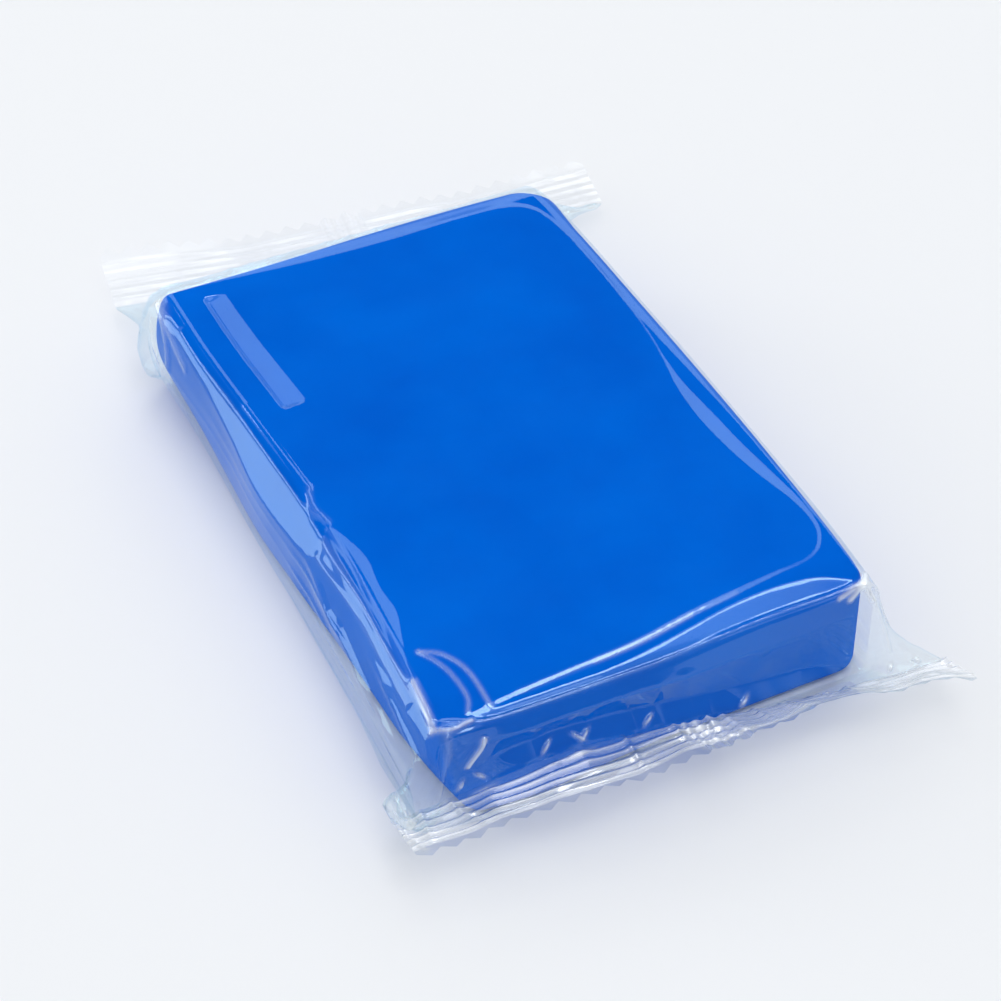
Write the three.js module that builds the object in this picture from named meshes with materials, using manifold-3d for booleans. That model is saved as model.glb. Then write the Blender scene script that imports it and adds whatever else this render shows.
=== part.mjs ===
// Detailing clay bar sealed in a clear flow-wrap pack, lying on its back seam.
// Millimetres. X runs across the bar, Y along it, Z up. Z = 0 is the surface the pack lies on,
// and X = Y = 0 is the middle of the bar. The near end of the pack is at -Y.
import * as THREE from "three";
import { LoftGeometry } from "three/addons/geometries/LoftGeometry.js";
import { mergeVertices } from "three/addons/utils/BufferGeometryUtils.js";
import Module from "manifold-3d";

const wasm = await Module();
wasm.setup();

// ---------------------------------------------------------------- driving dimensions
const barLength = 78.6;
const barWidth = 50.2;
const packHeight = 14.2; // top of the film over the bar
const filmWall = 0.4; // a stand-in thickness: the real film is about 0.04
const clearance = 0.15; // between the clay and the film round it
const pieceGap = 0.3; // between two pieces of film that meet at a fold or a weld

// The clay is pressed into a rectangle by hand and machine, so it is a little out of true.
const clayEdgeRadius = 1.1;
const cornerRadius = { nearLeft: 2.5, nearRight: 3.5, farLeft: 3, farRight: 6 };
const rightBulge = { size: 1.65, at: -22, reach: 38 };
const farLeftBulge = { size: 0.8, at: 38, reach: 14 };
const leftWaist = { size: 0.9, at: -6, reach: 20 };
const nearLeftUndercut = 2.9; // how far the foot of the left side is drawn in at the near end
const undercutLength = 45;

// Back seam: the two long edges of the film, welded face to face and folded flat underneath.
const seamWidth = 8;
const seamMiddle = 5.8;

// End seals: both layers of film crimped together into fine ribs and cut with a zigzag knife.
const crimpLength = 9;
const crimpThickness = 0.6;
const crimpStart = 0.5; // plain film before the first rib
const ribPitch = 1.4;
const ribCount = 5;
const ribHeight = 0.18;
const toothPitch = 2.6;
const toothDepth = 1.2;
const teeth = 25;

// The bar lies a little askew in the pack, so neither seal is quite square to it.
const farSeal = { middle: 5.2, rootY: 50.7, rootZ: 0.62, turn: -6, tilt: 0 };
const nearSeal = { middle: 1.3, rootY: -41.9, rootZ: 3.8, turn: -2.5, tilt: 24 };

// ---------------------------------------------------------------- derived sizes
const clayFloor = filmWall + clearance;
const clayTop = packHeight - filmWall - clearance;
const endY = barLength / 2;
const skin = filmWall + clearance; // from the clay to the outside of the film
const filmRadius = clayEdgeRadius + skin;
const seamLeft = seamMiddle - seamWidth / 2;
const seamRight = seamMiddle + seamWidth / 2;
const sealWidth = teeth * toothPitch;

// ---------------------------------------------------------------- helpers
function hump(y, { size, at, reach }) {
  return size * Math.exp(-(((y - at) / reach) ** 2));
}

function smooth(value) {
  const t = THREE.MathUtils.clamp(value, 0, 1);
  return t * t * (3 - 2 * t);
}

// Where the two long sides of the clay stand at a place along the bar.
function claySides(y) {
  return {
    left: -barWidth / 2 + hump(y, leftWaist) - hump(y, farLeftBulge),
    right: barWidth / 2 - 0.7 + hump(y, rightBulge),
  };
}

// How far a rounded corner of this radius has drawn in, this far from the end face.
function roundedInset(radius, fromEnd) {
  if (fromEnd >= radius) return 0;
  return radius - Math.sqrt(radius ** 2 - (radius - fromEnd) ** 2);
}

// Points round one corner, turning a quarter turn clockwise as seen from -Y.
function cornerPoints(centreX, y, centreZ, radius, startAngle, count) {
  const points = [];
  for (let i = 0; i <= count; i++) {
    const angle = startAngle - ((Math.PI / 2) * i) / count;
    points.push(
      new THREE.Vector3(centreX + radius * Math.cos(angle), y, centreZ + radius * Math.sin(angle)),
    );
  }
  return points;
}

// A rounded rectangle standing across the pack at y, from its lower left corner, up and over,
// to its lower right one.
function ring({ left, right, low, high, y, radius, count = 4 }) {
  const r = Math.min(radius, (high - low) / 2.02, (right - left) / 2.02);
  return [
    ...cornerPoints(left + r, y, low + r, r, -Math.PI / 2, count),
    ...cornerPoints(left + r, y, high - r, r, Math.PI, count),
    ...cornerPoints(right - r, y, high - r, r, Math.PI / 2, count),
    ...cornerPoints(right - r, y, low + r, r, 0, count),
  ];
}

// A closed solid through the sections, which run from -Y to +Y or from -X to +X.
function loftSolid(sections) {
  return new LoftGeometry(sections, { capStart: true, capEnd: true });
}

function toManifold(geometry) {
  const bare = new THREE.BufferGeometry();
  bare.setAttribute("position", geometry.getAttribute("position"));
  bare.setIndex(geometry.getIndex());
  const merged = mergeVertices(bare, 1e-4);
  return new wasm.Manifold(
    new wasm.Mesh({
      numProp: 3,
      vertProperties: merged.getAttribute("position").array,
      triVerts: new Uint32Array(merged.getIndex().array),
    }),
  );
}

function fromManifold(solid) {
  const mesh = solid.getMesh();
  const geometry = new THREE.BufferGeometry();
  const position = new THREE.BufferAttribute(new Float32Array(mesh.vertProperties), mesh.numProp);
  geometry.setAttribute("position", position);
  geometry.setIndex(new THREE.BufferAttribute(new Uint32Array(mesh.triVerts), 1));
  geometry.computeVertexNormals();
  return geometry;
}

function named(name, geometry, look) {
  const mesh = new THREE.Mesh(geometry, new THREE.MeshStandardMaterial(look));
  mesh.name = name;
  return mesh;
}

// ---------------------------------------------------------------- the clay
function clayGeometry() {
  const rounding = [0, 0.1, 0.3, 0.6, 1.1, 1.7, 2.5, 3.7, 6];
  const along = [];
  rounding.forEach((d) => along.push({ y: -endY + d, near: d, far: barLength }));
  for (let y = -30; y <= 30; y += 5) along.push({ y, near: barLength, far: barLength });
  [...rounding].reverse().forEach((d) => along.push({ y: endY - d, near: barLength, far: d }));

  const sections = along.map(({ y, near, far }) => {
    const sides = claySides(y);
    const edge = roundedInset(clayEdgeRadius, Math.min(near, far));
    const leftInset =
      roundedInset(cornerRadius.nearLeft, near) + roundedInset(cornerRadius.farLeft, far);
    const rightInset =
      roundedInset(cornerRadius.nearRight, near) + roundedInset(cornerRadius.farRight, far);
    const points = ring({
      left: sides.left + leftInset,
      right: sides.right - rightInset,
      low: clayFloor + edge,
      high: clayTop - edge,
      y,
      radius: clayEdgeRadius,
    });
    // The foot of the left side is drawn in towards the near end.
    const undercut = nearLeftUndercut * smooth((-endY + undercutLength - y) / undercutLength);
    points.forEach((p) => {
      const depth = (clayTop - p.z) / (clayTop - clayFloor);
      const leftness = smooth(1 - (p.x - sides.left) / 12);
      p.x += undercut * depth * leftness;
    });
    return points;
  });
  return loftSolid(sections);
}

// ---------------------------------------------------------------- the film round the bar
// One wrap of film, open along the underside where the back seam closes it.
function sleeveGeometry() {
  const sections = [];
  const steps = 20;
  for (let i = 0; i <= steps; i++) {
    const y = -endY + (barLength * i) / steps;
    const sides = claySides(y);
    const outer = ring({
      left: sides.left - skin,
      right: sides.right + skin,
      low: 0,
      high: packHeight,
      y,
      radius: filmRadius,
    });
    const inner = ring({
      left: sides.left - clearance,
      right: sides.right + clearance,
      low: filmWall,
      high: packHeight - filmWall,
      y,
      radius: filmRadius - filmWall,
    });
    const mouthRight = seamRight + pieceGap;
    const mouthLeft = seamLeft - pieceGap;
    sections.push([
      new THREE.Vector3(mouthLeft, y, 0),
      ...outer,
      new THREE.Vector3(mouthRight, y, 0),
      new THREE.Vector3(mouthRight, y, filmWall),
      ...inner.reverse(),
      new THREE.Vector3(mouthLeft, y, filmWall),
    ]);
  }
  return loftSolid(sections);
}

// The folded seam with the film it lies against, as one flat strip between the sleeve's edges.
function seamGeometry() {
  const across = new THREE.Shape();
  across.moveTo(seamLeft, 0);
  across.lineTo(seamRight, 0);
  across.lineTo(seamRight, filmWall);
  across.lineTo(seamLeft, filmWall);
  across.closePath();
  const strip = new THREE.ExtrudeGeometry(across, { depth: barLength, bevelEnabled: false });
  strip.rotateX(Math.PI / 2);
  strip.translate(0, endY, 0);
  return strip;
}

// ---------------------------------------------------------------- the film past each end of the bar
// The wrap closes from the bar's section to the flat seal. Its height goes down as its width
// goes out, so the film's girth stays the same and an ear stands out on each side.
function pocketRing(seal, startY, share, shrink) {
  const sides = claySides(startY);
  const endHalf = crimpThickness / 2 + 0.1;
  const sealLeft = seal.middle - sealWidth / 2;
  const sealRight = seal.middle + sealWidth / 2;
  const reach = seal.rootY - Math.sign(seal.rootY) * pieceGap - startY;
  const slope = Math.tan(THREE.MathUtils.degToRad(seal.turn));
  const points = ring({
    left: THREE.MathUtils.lerp(sides.left - skin, sealLeft, share) + shrink,
    right: THREE.MathUtils.lerp(sides.right + skin, sealRight, share) - shrink,
    low: THREE.MathUtils.lerp(0, seal.rootZ - endHalf, share) + shrink,
    high: THREE.MathUtils.lerp(packHeight, seal.rootZ + endHalf, share) - shrink,
    y: startY + reach * share,
    radius: Math.max(filmRadius * (1 - share), 0.4) - shrink * 0.5,
  });
  points.forEach((p) => (p.y += share * slope * (p.x - seal.middle)));
  return points;
}

function pocketGeometry(seal) {
  const side = Math.sign(seal.rootY);
  const startY = side * (endY + pieceGap);
  const outerShares = [0, 0.2, 0.4, 0.6, 0.8, 1];
  const innerShares = [-0.05, 0.2, 0.4, 0.6, 0.8, 0.9];
  let outer = outerShares.map((share) => pocketRing(seal, startY, share, 0));
  let inner = innerShares.map((share) => pocketRing(seal, startY, share, filmWall));
  if (side < 0) {
    outer = outer.reverse();
    inner = inner.reverse();
  }
  const hollow = toManifold(loftSolid(outer)).subtract(toManifold(loftSolid(inner)));
  return fromManifold(hollow);
}

// ---------------------------------------------------------------- the end seals
// Outline of a seal in the plane across X, from its root outwards: over the ribs on top,
// round the cut edge, and back underneath. Both faces carry the same ribs, nested in each other.
function crimpSection(x, tipV, lift) {
  const half = crimpThickness / 2;
  const ribs = [{ v: 0, w: 0 }];
  for (let i = 0; i < ribCount; i++) {
    const foot = crimpStart + i * ribPitch;
    ribs.push({ v: foot, w: 0 });
    ribs.push({ v: foot + ribPitch / 2, w: ribHeight });
  }
  ribs.push({ v: crimpStart + ribCount * ribPitch, w: 0 });
  ribs.push({ v: tipV, w: 0 });
  const top = ribs.map(({ v, w }) => new THREE.Vector3(x, v, w + half + lift(x, v)));
  const bottom = ribs.map(({ v, w }) => new THREE.Vector3(x, v, w - half + lift(x, v)));
  return [...bottom, ...top.reverse()];
}

// A seal lying flat with its root on the X axis and its cut edge towards +Y.
function crimpGeometry(lift) {
  const sections = [];
  for (let i = 0; i <= teeth * 2; i++) {
    const x = -sealWidth / 2 + (i * toothPitch) / 2;
    const tipV = i % 2 === 0 ? crimpLength - toothDepth : crimpLength;
    sections.push(crimpSection(x, tipV, lift));
  }
  return loftSolid(sections);
}

// The far seal lies on the surface, except for its left corner, which curls up.
function farLift(x, v) {
  const share = v / crimpLength;
  const curl = 3.2 * smooth((-x - 14) / 18) * smooth(share);
  const wave = 0.5 * (1 + Math.sin(x / 4.2)) * share;
  return curl + wave;
}

// The near seal stands off the surface, waves along its length and droops at its left end,
// which is at +X until the seal is turned round.
function nearLift(x, v) {
  const share = v / crimpLength;
  const wave = 0.8 * Math.sin(x / 6.5 + 0.6) + 0.4 * Math.sin(x / 2.9);
  const droop = 2 * smooth((x - 10) / 18);
  return (wave - droop) * share;
}

function sealGeometry(seal, lift, heading) {
  const geometry = crimpGeometry(lift);
  geometry.rotateX(THREE.MathUtils.degToRad(seal.tilt));
  geometry.rotateZ(THREE.MathUtils.degToRad(seal.turn + heading));
  geometry.translate(seal.middle, seal.rootY, seal.rootZ);
  return geometry;
}

// ---------------------------------------------------------------- the object
const clayLook = { color: 0x0a5cd6, roughness: 0.55, metalness: 0 };
const filmLook = { color: 0xe6f0fa, roughness: 0.12, metalness: 0, transparent: true, opacity: 0.3 };
const sealLook = { color: 0xe9eef6, roughness: 0.25, metalness: 0, transparent: true, opacity: 0.5 };

const pack = new THREE.Group();
pack.add(
  named("clay_bar", clayGeometry(), clayLook),
  named("film_sleeve", sleeveGeometry(), filmLook),
  named("back_seam_fin", seamGeometry(), sealLook),
  named("near_pocket_film", pocketGeometry(nearSeal), filmLook),
  named("far_pocket_film", pocketGeometry(farSeal), filmLook),
  named("near_end_crimp", sealGeometry(nearSeal, nearLift, 180), sealLook),
  named("far_end_crimp", sealGeometry(farSeal, farLift, 0), sealLook),
);

export default pack;
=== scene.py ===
"""A blue detailing clay bar in its clear flow-wrap pack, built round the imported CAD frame.

Shapes are worked out in millimetres and turned into metres when each mesh is made.
The film is one closed wrap worked out as rows of points: a row runs round the pack, and the rows
follow each other from the near end seal (-Y) over the bar to the far end seal (+Y).
"""

import math

import bmesh
import bpy
import numpy as np
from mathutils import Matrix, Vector, noise


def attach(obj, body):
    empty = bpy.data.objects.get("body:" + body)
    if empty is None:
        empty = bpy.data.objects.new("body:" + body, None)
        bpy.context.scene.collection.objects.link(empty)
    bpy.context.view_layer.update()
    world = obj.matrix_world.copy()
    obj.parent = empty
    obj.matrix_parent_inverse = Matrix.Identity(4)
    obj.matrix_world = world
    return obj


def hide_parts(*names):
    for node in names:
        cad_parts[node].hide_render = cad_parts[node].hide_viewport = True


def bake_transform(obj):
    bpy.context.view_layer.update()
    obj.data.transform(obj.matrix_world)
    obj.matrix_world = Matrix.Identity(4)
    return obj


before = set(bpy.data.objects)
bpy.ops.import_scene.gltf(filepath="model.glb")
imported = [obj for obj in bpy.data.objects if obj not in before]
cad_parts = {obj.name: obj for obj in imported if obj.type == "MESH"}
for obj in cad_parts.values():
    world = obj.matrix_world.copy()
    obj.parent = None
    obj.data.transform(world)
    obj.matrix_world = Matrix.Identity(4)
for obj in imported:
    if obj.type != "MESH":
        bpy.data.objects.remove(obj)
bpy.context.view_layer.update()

MM = 0.001
scene = bpy.context.scene

# ------------------------------------------------------------------ sizes, in millimetres
BAR_END = 39.3         # the bar's end faces stand this far from its middle
BAR_HALF_WIDTH = 25.0
CLAY_LOW = 0.25
CLAY_TOP = 13.55
CLAY_EDGE_RADIUS = 1.1
CLAY_CELL = 0.55       # size of the clay mesh's quads
TOE_MIDDLE = -15.0     # the clay's near lower edge sags outwards round this x
TOE_SPREAD = 12.0
TOE_REACH = 1.9
CLAY_GAP_LEFT = 0.25   # how far the clay's sides stand inside the film's top edges
CLAY_GAP_RIGHT = 0.3
CLAY_CORNER_RADII = {"far_right": 4.5, "far_left": 1.2, "near_right": 3.0, "near_left": 1.6}
FILM_TOP = 14.08
FILM_LIMIT = 14.19     # no film stands higher than this
FILM_LOW = 0.06        # height of the film under the bar
FLOOR_GAP = 0.05       # no film lies lower than this
FOOT_RADIUS = 0.9
TOP_LEFT_RADIUS = 1.3
TOP_RIGHT_RADIUS = 1.2
GIRTH_HALF = 65.0      # the wrap's width when pressed flat
LEFT_HEIGHT = 14.0     # length of the film down the left side

# edges of the film over the bar, and the foot of the clay's left side, as (y, x)
TOP_LEFT_EDGE = [
    (-41, -25.5), (-37, -25.4), (-26, -24.9), (-12, -24.3),
    (0, -24.3), (15, -25.0), (27, -25.7), (39, -25.9),
]
TOP_RIGHT_EDGE = [
    (-41, 26.5), (-29, 26.9), (-15, 26.9), (-1, 26.6),
    (13, 26.1), (30, 25.4), (36, 25.0), (40, 24.4),
]
LEFT_FOOT = [
    (-41, -27.6), (-30, -27.4), (-20, -27.2), (-8, -27.0),
    (8, -27.0), (18, -26.7), (28, -26.3), (41, -26.3),
]
RIGHT_FOOT = [(-41, 26.6), (-30, 26.8), (-10, 26.8), (13, 26.1), (31, 25.5), (41, 25.0)]
CLAY_LEFT_FOOT = [
    (-40, -21.6), (-33, -23.3), (-29, -23.9), (-20, -24.5), (-9, -25.3),
    (0, -25.9), (8, -26.4), (18, -26.1), (28, -25.6), (39, -25.5),
]

# edge of the level middle of the top film, and how far the film slopes down beyond it:
# (x, y, width of the slope)
LEVEL_EDGE = [
    # along the near edge
    (-23, -39.0, 0.3), (-17, -38.0, 0.5), (-9.5, -37.3, 0.5), (-1.7, -36.7, 0.55),
    (6.1, -35.3, 0.65), (12, -34.5, 0.55), (17.3, -33.9, 0.4), (20.8, -33.6, 0.3),
    # round the near right corner
    (23.0, -32.6, 0.3), (24.4, -30.6, 0.35), (24.9, -28.0, 0.45), (24.4, -24.0, 0.9),
    # along the right edge
    (23.2, -19.5, 1.6), (22.2, -14.0, 1.9), (21.7, -9.0, 2.0), (21.7, -5.0, 1.6),
    (22.0, -1.5, 1.0), (22.7, 2.5, 0.35), (23.3, 8, 0.25), (23.5, 16, 0.25),
    (23.2, 25, 0.3), (22.6, 31, 0.4), (21.2, 35, 0.5),
    # along the far edge
    (18.0, 36.7, 0.6), (12, 37.0, 0.7), (2, 36.8, 0.5), (-8, 37.2, 0.4),
    (-17, 38.1, 0.3), (-24, 39.2, 0.2),
]
LEVEL_SLOPE = 0.17
# upper border, as (x, y), of the film above the near edge, which slopes down more steeply
LENS_TOP = [
    (-9, -39.6), (-4, -39.0), (1, -38.2), (6, -37.2), (10, -36.4),
    (14, -36.0), (18, -36.1), (21, -36.7), (23.6, -38.2), (25, -39.3),
]
LENS_SLOPE = 0.19
LENS_LEFT = -9.5
LENS_RIGHT = 25.5
# narrow bevels along the right edge, as (y, width), and the far edge, as (x, width)
RIGHT_BEVEL = [(-39, 0.7), (-24, 1.2), (-8, 1.5), (2, 2.1), (39, 2.1)]
RIGHT_BEVEL_SLOPE = 0.20
FAR_BEVEL = [(-26, 0.6), (-14, 1.0), (4, 1.7), (20, 1.9), (27, 1.9)]
FAR_BEVEL_SLOPE = 0.16
# two strips of the top film that slope down to their left edge: borders as (along, across), slope
TILTED_STRIPS = [
    ([(14.0, 4.4), (35.4, 4.3)], [(14.0, 7.2), (35.4, 6.7)], 0.165),
    (
        [(-31, 0.2), (-20, 0.4), (-6, 0.2)],
        [(-31, 0.5), (-26, 1.6), (-22, 2.5), (-18, 2.2), (-13, 2.5), (-9, 1.6), (-6, 0.5)],
        0.16,
    ),
]
# how far the film stands off the far half of the left side, as (along, distance)
LEFT_STAND_OFF = [(-10, 1.8), (6, 2.2), (15, 1.5), (22.6, 0.9), (30, 0.6), (40, 0.4)]

# the back seam, folded flat under the bar, between these two x
SEAM_LEFT = 1.8
SEAM_RIGHT = 9.8
SEAM_RIB_PITCH = 1.4
SEAM_RIB_HEIGHT = 0.012

# end seals
SEAL_MIDDLE = {"near": 1.3, "far": 5.2}
SEAL_TURN = {"near": -2.5, "far": -6.0}      # degrees about the vertical
SEAL_LENGTH = 9.0
TOOTH_PITCH = 2.6
TOOTH_DEPTH = 1.2
RIB_PITCH = 1.35
RIB_COUNT = 5
RIB_HEIGHT = {"near": 0.5, "far": 0.13}
RIB_WANDER = {"near": 0.55, "far": 0.15}     # in ribs
RIB_WANDER_SCALE = {"near": (9, 5), "far": (12, 8)}
HATCH_PITCH = 1.6                            # cross ribs, where the back seam runs into the seal
HATCH_HEIGHT = 0.2
SEAL_BOW = {"near": 0.8, "far": 0.35}
SEAL_PUCKER = {"near": 0.35, "far": 0.12}
SEAL_SEED = {"near": 21, "far": 31}

# the near seal's root, as (x, y) and as (x, z)
NEAR_ROOT = [(-34, -40.6), (-16, -41.2), (-2, -41.4), (10, -42.0), (22, -42.8), (36, -43.8)]
NEAR_ROOT_HEIGHT = [
    (-34, 3.6), (-28, 4.4), (-21, 5.4), (-12, 6.2), (-3, 5.2),
    (6, 3.7), (12, 2.8), (17, 2.2), (25, 1.9), (36, 2.2),
]
# the far seal's root: its y at the seal's middle, and (x, z)
FAR_ROOT = 50.5
FAR_ROOT_HEIGHT = [(-34, 1.6), (-20, 0.9), (0, 0.7), (20, 0.8), (40, 1.0)]
# how steeply each seal rises at its root and at its tip, as (x, degrees)
ROOT_RISE = {
    "near": [
        (-34, 18), (-25, 14), (-12, 8), (-3, 16), (6, 26), (12, 36), (17, 44), (25, 38), (36, 24),
    ],
    "far": [(-34, 14), (-22, 10), (-10, 2), (0, 1), (10, 3), (20, 1), (32, 4), (40, 5)],
}
TIP_RISE = {
    "near": [
        (-34, 30), (-21, 26), (-12, 24), (-3, 28), (6, 34), (12, 42), (17, 48), (25, 40), (36, 26),
    ],
    "far": [(-34, 34), (-22, 24), (-10, 6), (0, 3), (10, 7), (20, 2), (32, 8), (40, 10)],
}


# ------------------------------------------------------------------ small helpers
def smooth(t):
    """A smooth step from 0 to 1 as t goes from 0 to 1."""
    t = np.clip(t, 0.0, 1.0)
    return t * t * (3 - 2 * t)


def curve_through(points, at):
    """A smooth curve through (place, value) pairs, read at the places given."""
    places = np.array([p[0] for p in points], float)
    values = np.array([p[1] for p in points], float)
    slopes = np.gradient(values, places)
    at = np.clip(np.asarray(at, float), places[0], places[-1])
    i = np.clip(np.searchsorted(places, at) - 1, 0, len(places) - 2)
    step = places[i + 1] - places[i]
    t = (at - places[i]) / step
    return (
        (2 * t**3 - 3 * t**2 + 1) * values[i]
        + (t**3 - 2 * t**2 + t) * step * slopes[i]
        + (-2 * t**3 + 3 * t**2) * values[i + 1]
        + (t**3 - t**2) * step * slopes[i + 1]
    )


def rough(a, b, scale_a, scale_b, seed):
    """Smooth noise from about -1 to 1 over two coordinates, with a length scale for each."""
    flat_a, flat_b = np.ravel(a) / scale_a, np.ravel(b) / scale_b
    values = [noise.noise(Vector((p, q, seed * 7.31))) for p, q in zip(flat_a, flat_b)]
    return np.array(values).reshape(np.shape(a))


def creased(a, b, scale_a, scale_b, seed):
    """Noise with sharp ridges, from 0 in the flats to 1 on the ridges."""
    return (1 - np.abs(rough(a, b, scale_a, scale_b, seed))) ** 6


def rounded_line(points, steps=6):
    """The same line with extra points, so that it bends smoothly instead of in corners."""
    points = [np.array(p, float) for p in points]
    padded = [2 * points[0] - points[1]] + points + [2 * points[-1] - points[-2]]
    made = []
    for p, q, r, s in zip(padded, padded[1:], padded[2:], padded[3:]):
        for t in np.arange(steps) / steps:
            square = (2 * p - 5 * q + 4 * r - s) * t**2
            cube = (3 * q - p - 3 * r + s) * t**3
            made.append(0.5 * (2 * q + (r - p) * t + square + cube))
    return np.array(made + [points[-1]])


def beyond_line(x, y, line):
    """Signed distance to a line, positive on its right hand side, and the line's third value there."""
    best = np.full(np.shape(x), 1e9)
    side = np.zeros(np.shape(x))
    value = np.zeros(np.shape(x))
    for (x0, y0, v0), (x1, y1, v1) in zip(line, line[1:]):
        dx, dy = x1 - x0, y1 - y0
        t = np.clip(((x - x0) * dx + (y - y0) * dy) / (dx * dx + dy * dy), 0, 1)
        away = np.hypot(x - x0 - t * dx, y - y0 - t * dy)
        closer = away < best
        best = np.where(closer, away, best)
        side = np.where(closer, np.sign((x - x0) * dy - (y - y0) * dx), side)
        value = np.where(closer, v0 + (v1 - v0) * t, value)
    return best * side, value


def distance_to_line(a, b, points):
    """Distance from each place to a line through these points."""
    best = np.full(np.shape(a), 1e9)
    for (a0, b0), (a1, b1) in zip(points, points[1:]):
        da, db = a1 - a0, b1 - b0
        t = np.clip(((a - a0) * da + (b - b0) * db) / (da * da + db * db), 0, 1)
        best = np.minimum(best, np.hypot(a - a0 - t * da, b - b0 - t * db))
    return best


def grid_normals(points, closed):
    """Normals of a (rows, columns, 3) grid, whose columns may run round and meet."""
    if closed:
        across = np.roll(points, -1, 1) - np.roll(points, 1, 1)
    else:
        across = np.gradient(points, axis=1)
    along = np.gradient(points, axis=0)
    n = np.cross(across, along)
    length = np.linalg.norm(n, axis=2, keepdims=True)
    return n / np.maximum(length, 1e-9)


def grid_object(name, points, normals, closed, material, white_and_painted_glints=None):
    """An object from a (rows, columns, 3) grid in millimetres, with how white each point is: partly the
    film's own whitening, partly painted glints and highlight lines.
    """
    rows, columns = points.shape[:2]
    verts = points.reshape(-1, 3) * MM
    wrap = columns if closed else columns - 1
    r, c = np.meshgrid(np.arange(rows - 1), np.arange(wrap), indexing="ij")
    r, c = r.ravel(), c.ravel()
    c1 = (c + 1) % columns
    this_row, next_row = r * columns, (r + 1) * columns
    faces = np.stack([this_row + c, this_row + c1, next_row + c1, next_row + c], 1)
    mesh = bpy.data.meshes.new(name)
    mesh.from_pydata(verts.tolist(), [], faces.tolist())
    mesh.polygons.foreach_set("use_smooth", np.ones(len(faces), bool))
    if normals is not None:
        mesh.normals_split_custom_set_from_vertices(normals.reshape(-1, 3).tolist())
    if white_and_painted_glints is not None:
        mesh.attributes.new("white_and_painted_glints", "FLOAT", "POINT").data.foreach_set("value", white_and_painted_glints.ravel())
    mesh.materials.append(material)
    mesh.update()
    obj = bpy.data.objects.new(name, mesh)
    scene.collection.objects.link(obj)
    return obj


# ------------------------------------------------------------------ materials
COOL_WHITE = (0.96, 0.98, 1.0, 1)


def new_material(name):
    """An empty node material, and its node tree."""
    material = bpy.data.materials.new(name)
    material.use_nodes = True
    tree = material.node_tree
    tree.nodes.clear()
    return material, tree


def link(tree, a, out, b, into):
    """Joins one node's output to another's input."""
    tree.links.new(a.outputs[out], b.inputs[into])


def clay_material():
    """Matt blue putty, faintly mottled, with a fine grain."""
    material, tree = new_material("blue_clay")
    nodes = tree.nodes
    out = nodes.new("ShaderNodeOutputMaterial")
    shader = nodes.new("ShaderNodeBsdfPrincipled")
    shader.inputs["Roughness"].default_value = 0.5
    shader.inputs["Specular IOR Level"].default_value = 0.0
    where = nodes.new("ShaderNodeTexCoord")
    mottle = nodes.new("ShaderNodeTexNoise")
    mottle.inputs["Scale"].default_value = 70.0
    mottle.inputs["Detail"].default_value = 5.0
    colours = nodes.new("ShaderNodeValToRGB")
    colours.color_ramp.elements[0].position = 0.3
    colours.color_ramp.elements[0].color = (0.0, 0.126, 0.680, 1)
    colours.color_ramp.elements[1].position = 0.7
    colours.color_ramp.elements[1].color = (0.0, 0.156, 0.760, 1)
    grain = nodes.new("ShaderNodeTexNoise")
    grain.inputs["Scale"].default_value = 900.0
    grain.inputs["Detail"].default_value = 3.0
    bump = nodes.new("ShaderNodeBump")
    bump.inputs["Strength"].default_value = 0.12
    bump.inputs["Distance"].default_value = 0.0002
    link(tree, where, "Object", mottle, "Vector")
    link(tree, where, "Object", grain, "Vector")
    link(tree, mottle, "Fac", colours, "Fac")
    link(tree, colours, "Color", shader, "Base Color")
    link(tree, grain, "Fac", bump, "Height")
    link(tree, bump, "Normal", shader, "Normal")
    link(tree, shader, "BSDF", out, "Surface")
    return material


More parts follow.
